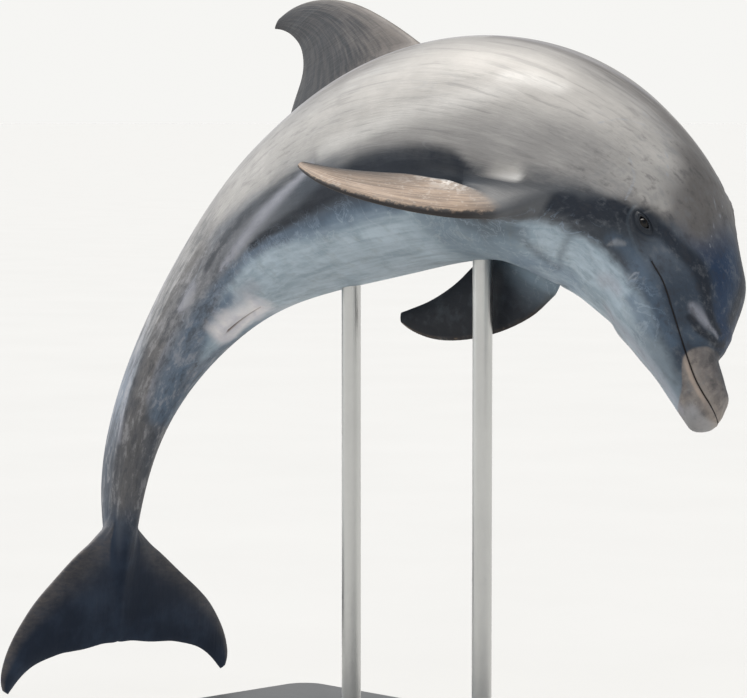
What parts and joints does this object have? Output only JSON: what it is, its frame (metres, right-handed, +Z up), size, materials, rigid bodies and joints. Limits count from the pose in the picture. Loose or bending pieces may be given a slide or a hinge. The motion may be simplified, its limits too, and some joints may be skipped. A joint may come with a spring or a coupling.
{
  "type": "bottlenose dolphin model",
  "caption": "Life-size bottlenose dolphin arching nose down out of a leap, with curved flukes, hooked back fin and spread flippers, held over a flat base on upright rods.",
  "frame": {"origin": "on the floor under the middle of the whole box, at the underside of the base", "axes": "+X towards the head, +Y towards the dolphin's left side, +Z up"},
  "size_m": [1.6924, 0.8, 1.5445],
  "materials": {
    "head_skin": "satin skin, slate to warm grey",
    "jaw_skin": "satin skin, pale grey",
    "body_skin": "satin skin, slate back and pale belly",
    "tail_skin": "satin skin, brown grey with pale scars",
    "fluke_skin": "satin skin, near black",
    "back_fin_skin": "satin skin, dark warm grey",
    "flipper_skin": "satin skin, dark brown grey",
    "blowhole_skin": "satin skin, dark grey",
    "eye": "polished, very dark brown",
    "stand_board": "satin charcoal paint",
    "stand_steel": "brushed"
  },
  "bodies": {
    "root": {"head": "head_skin", "lower_jaw": "jaw_skin", "chest": "body_skin", "trunk": "body_skin", "tail_stock": "tail_skin", "fluke_hub": "fluke_skin", "fluke_left": "fluke_skin", "fluke_right": "fluke_skin", "back_fin": "back_fin_skin", "flipper_left": "flipper_skin", "flipper_right": "flipper_skin", "blowhole_plug": "blowhole_skin", "eye_left": "eye", "eye_right": "eye", "stand_base": "stand_board", "stand_rod_front": "stand_steel", "stand_rod_rear": "stand_steel", "stand_collar_front": "stand_steel", "stand_collar_rear": "stand_steel"}
  },
  "joints": []
}
